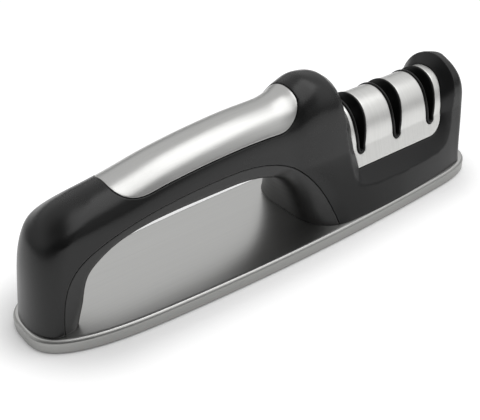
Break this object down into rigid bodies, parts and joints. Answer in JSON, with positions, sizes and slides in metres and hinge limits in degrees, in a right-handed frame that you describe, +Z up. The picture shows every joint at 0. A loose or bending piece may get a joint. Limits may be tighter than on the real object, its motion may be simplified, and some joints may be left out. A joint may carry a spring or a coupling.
{
  "type": "manual knife sharpener",
  "caption": "Manual pull-through kitchen knife sharpener: arched finger grip, steel-covered sharpening head with upright slots, heavy steel-topped non-slip base.",
  "frame": {"origin": "centre of the outline of the base, on the surface that it stands on", "axes": "+X along the base from the grip's rear end to the sharpening head, +Y across the base, +Z up"},
  "size_m": [0.215, 0.0524, 0.0644],
  "materials": {
    "brushed_steel": "brushed lengthwise",
    "casing_plastic": "satin moulded",
    "grip_plastic": "soft touch, fine grain",
    "guide_plastic": "smooth black",
    "inner_plastic": "plain moulded",
    "rubber": "matte",
    "carbide": "ground hard metal",
    "bright_steel": "plain turned steel",
    "diamond_grit": "fine grit coating",
    "ceramic": "fine sintered ceramic"
  },
  "bodies": {
    "housing": {"anti_slip_sole": "rubber", "base_cover_plate": "brushed_steel", "base_core": "inner_plastic", "body_casing": "casing_plastic", "grip_liner": "grip_plastic", "handle_inlay": "brushed_steel", "head_cover": "brushed_steel", "slot_guide_carbide": "guide_plastic", "slot_guide_diamond": "guide_plastic", "slot_guide_ceramic": "guide_plastic", "abrasive_carrier": "inner_plastic", "carbide_blade_left": "carbide", "carbide_blade_right": "carbide", "blade_clamp": "bright_steel", "blade_clamp_screw": "bright_steel", "diamond_axle": "bright_steel", "ceramic_axle": "bright_steel", "base_screw_1": "bright_steel", "base_screw_2": "bright_steel", "base_screw_3": "bright_steel", "base_screw_4": "bright_steel", "base_screw_5": "bright_steel", "carrier_screw_1": "bright_steel", "carrier_screw_2": "bright_steel"},
    "diamond_wheels": {"diamond_wheel_left": "diamond_grit", "diamond_wheel_right": "diamond_grit"},
    "ceramic_wheels": {"ceramic_wheel_left": "ceramic", "ceramic_wheel_right": "ceramic"}
  },
  "joints": [
    {"name": "diamond_wheels_spin", "type": "hinge", "parent": "housing", "child": "diamond_wheels", "pos_m": [0.06004, 0, 0.0215], "axis": [1, 0, 0], "continuous": true},
    {"name": "ceramic_wheels_spin", "type": "hinge", "parent": "housing", "child": "ceramic_wheels", "pos_m": [0.08068, 0, 0.0215], "axis": [1, 0, 0], "continuous": true}
  ]
}
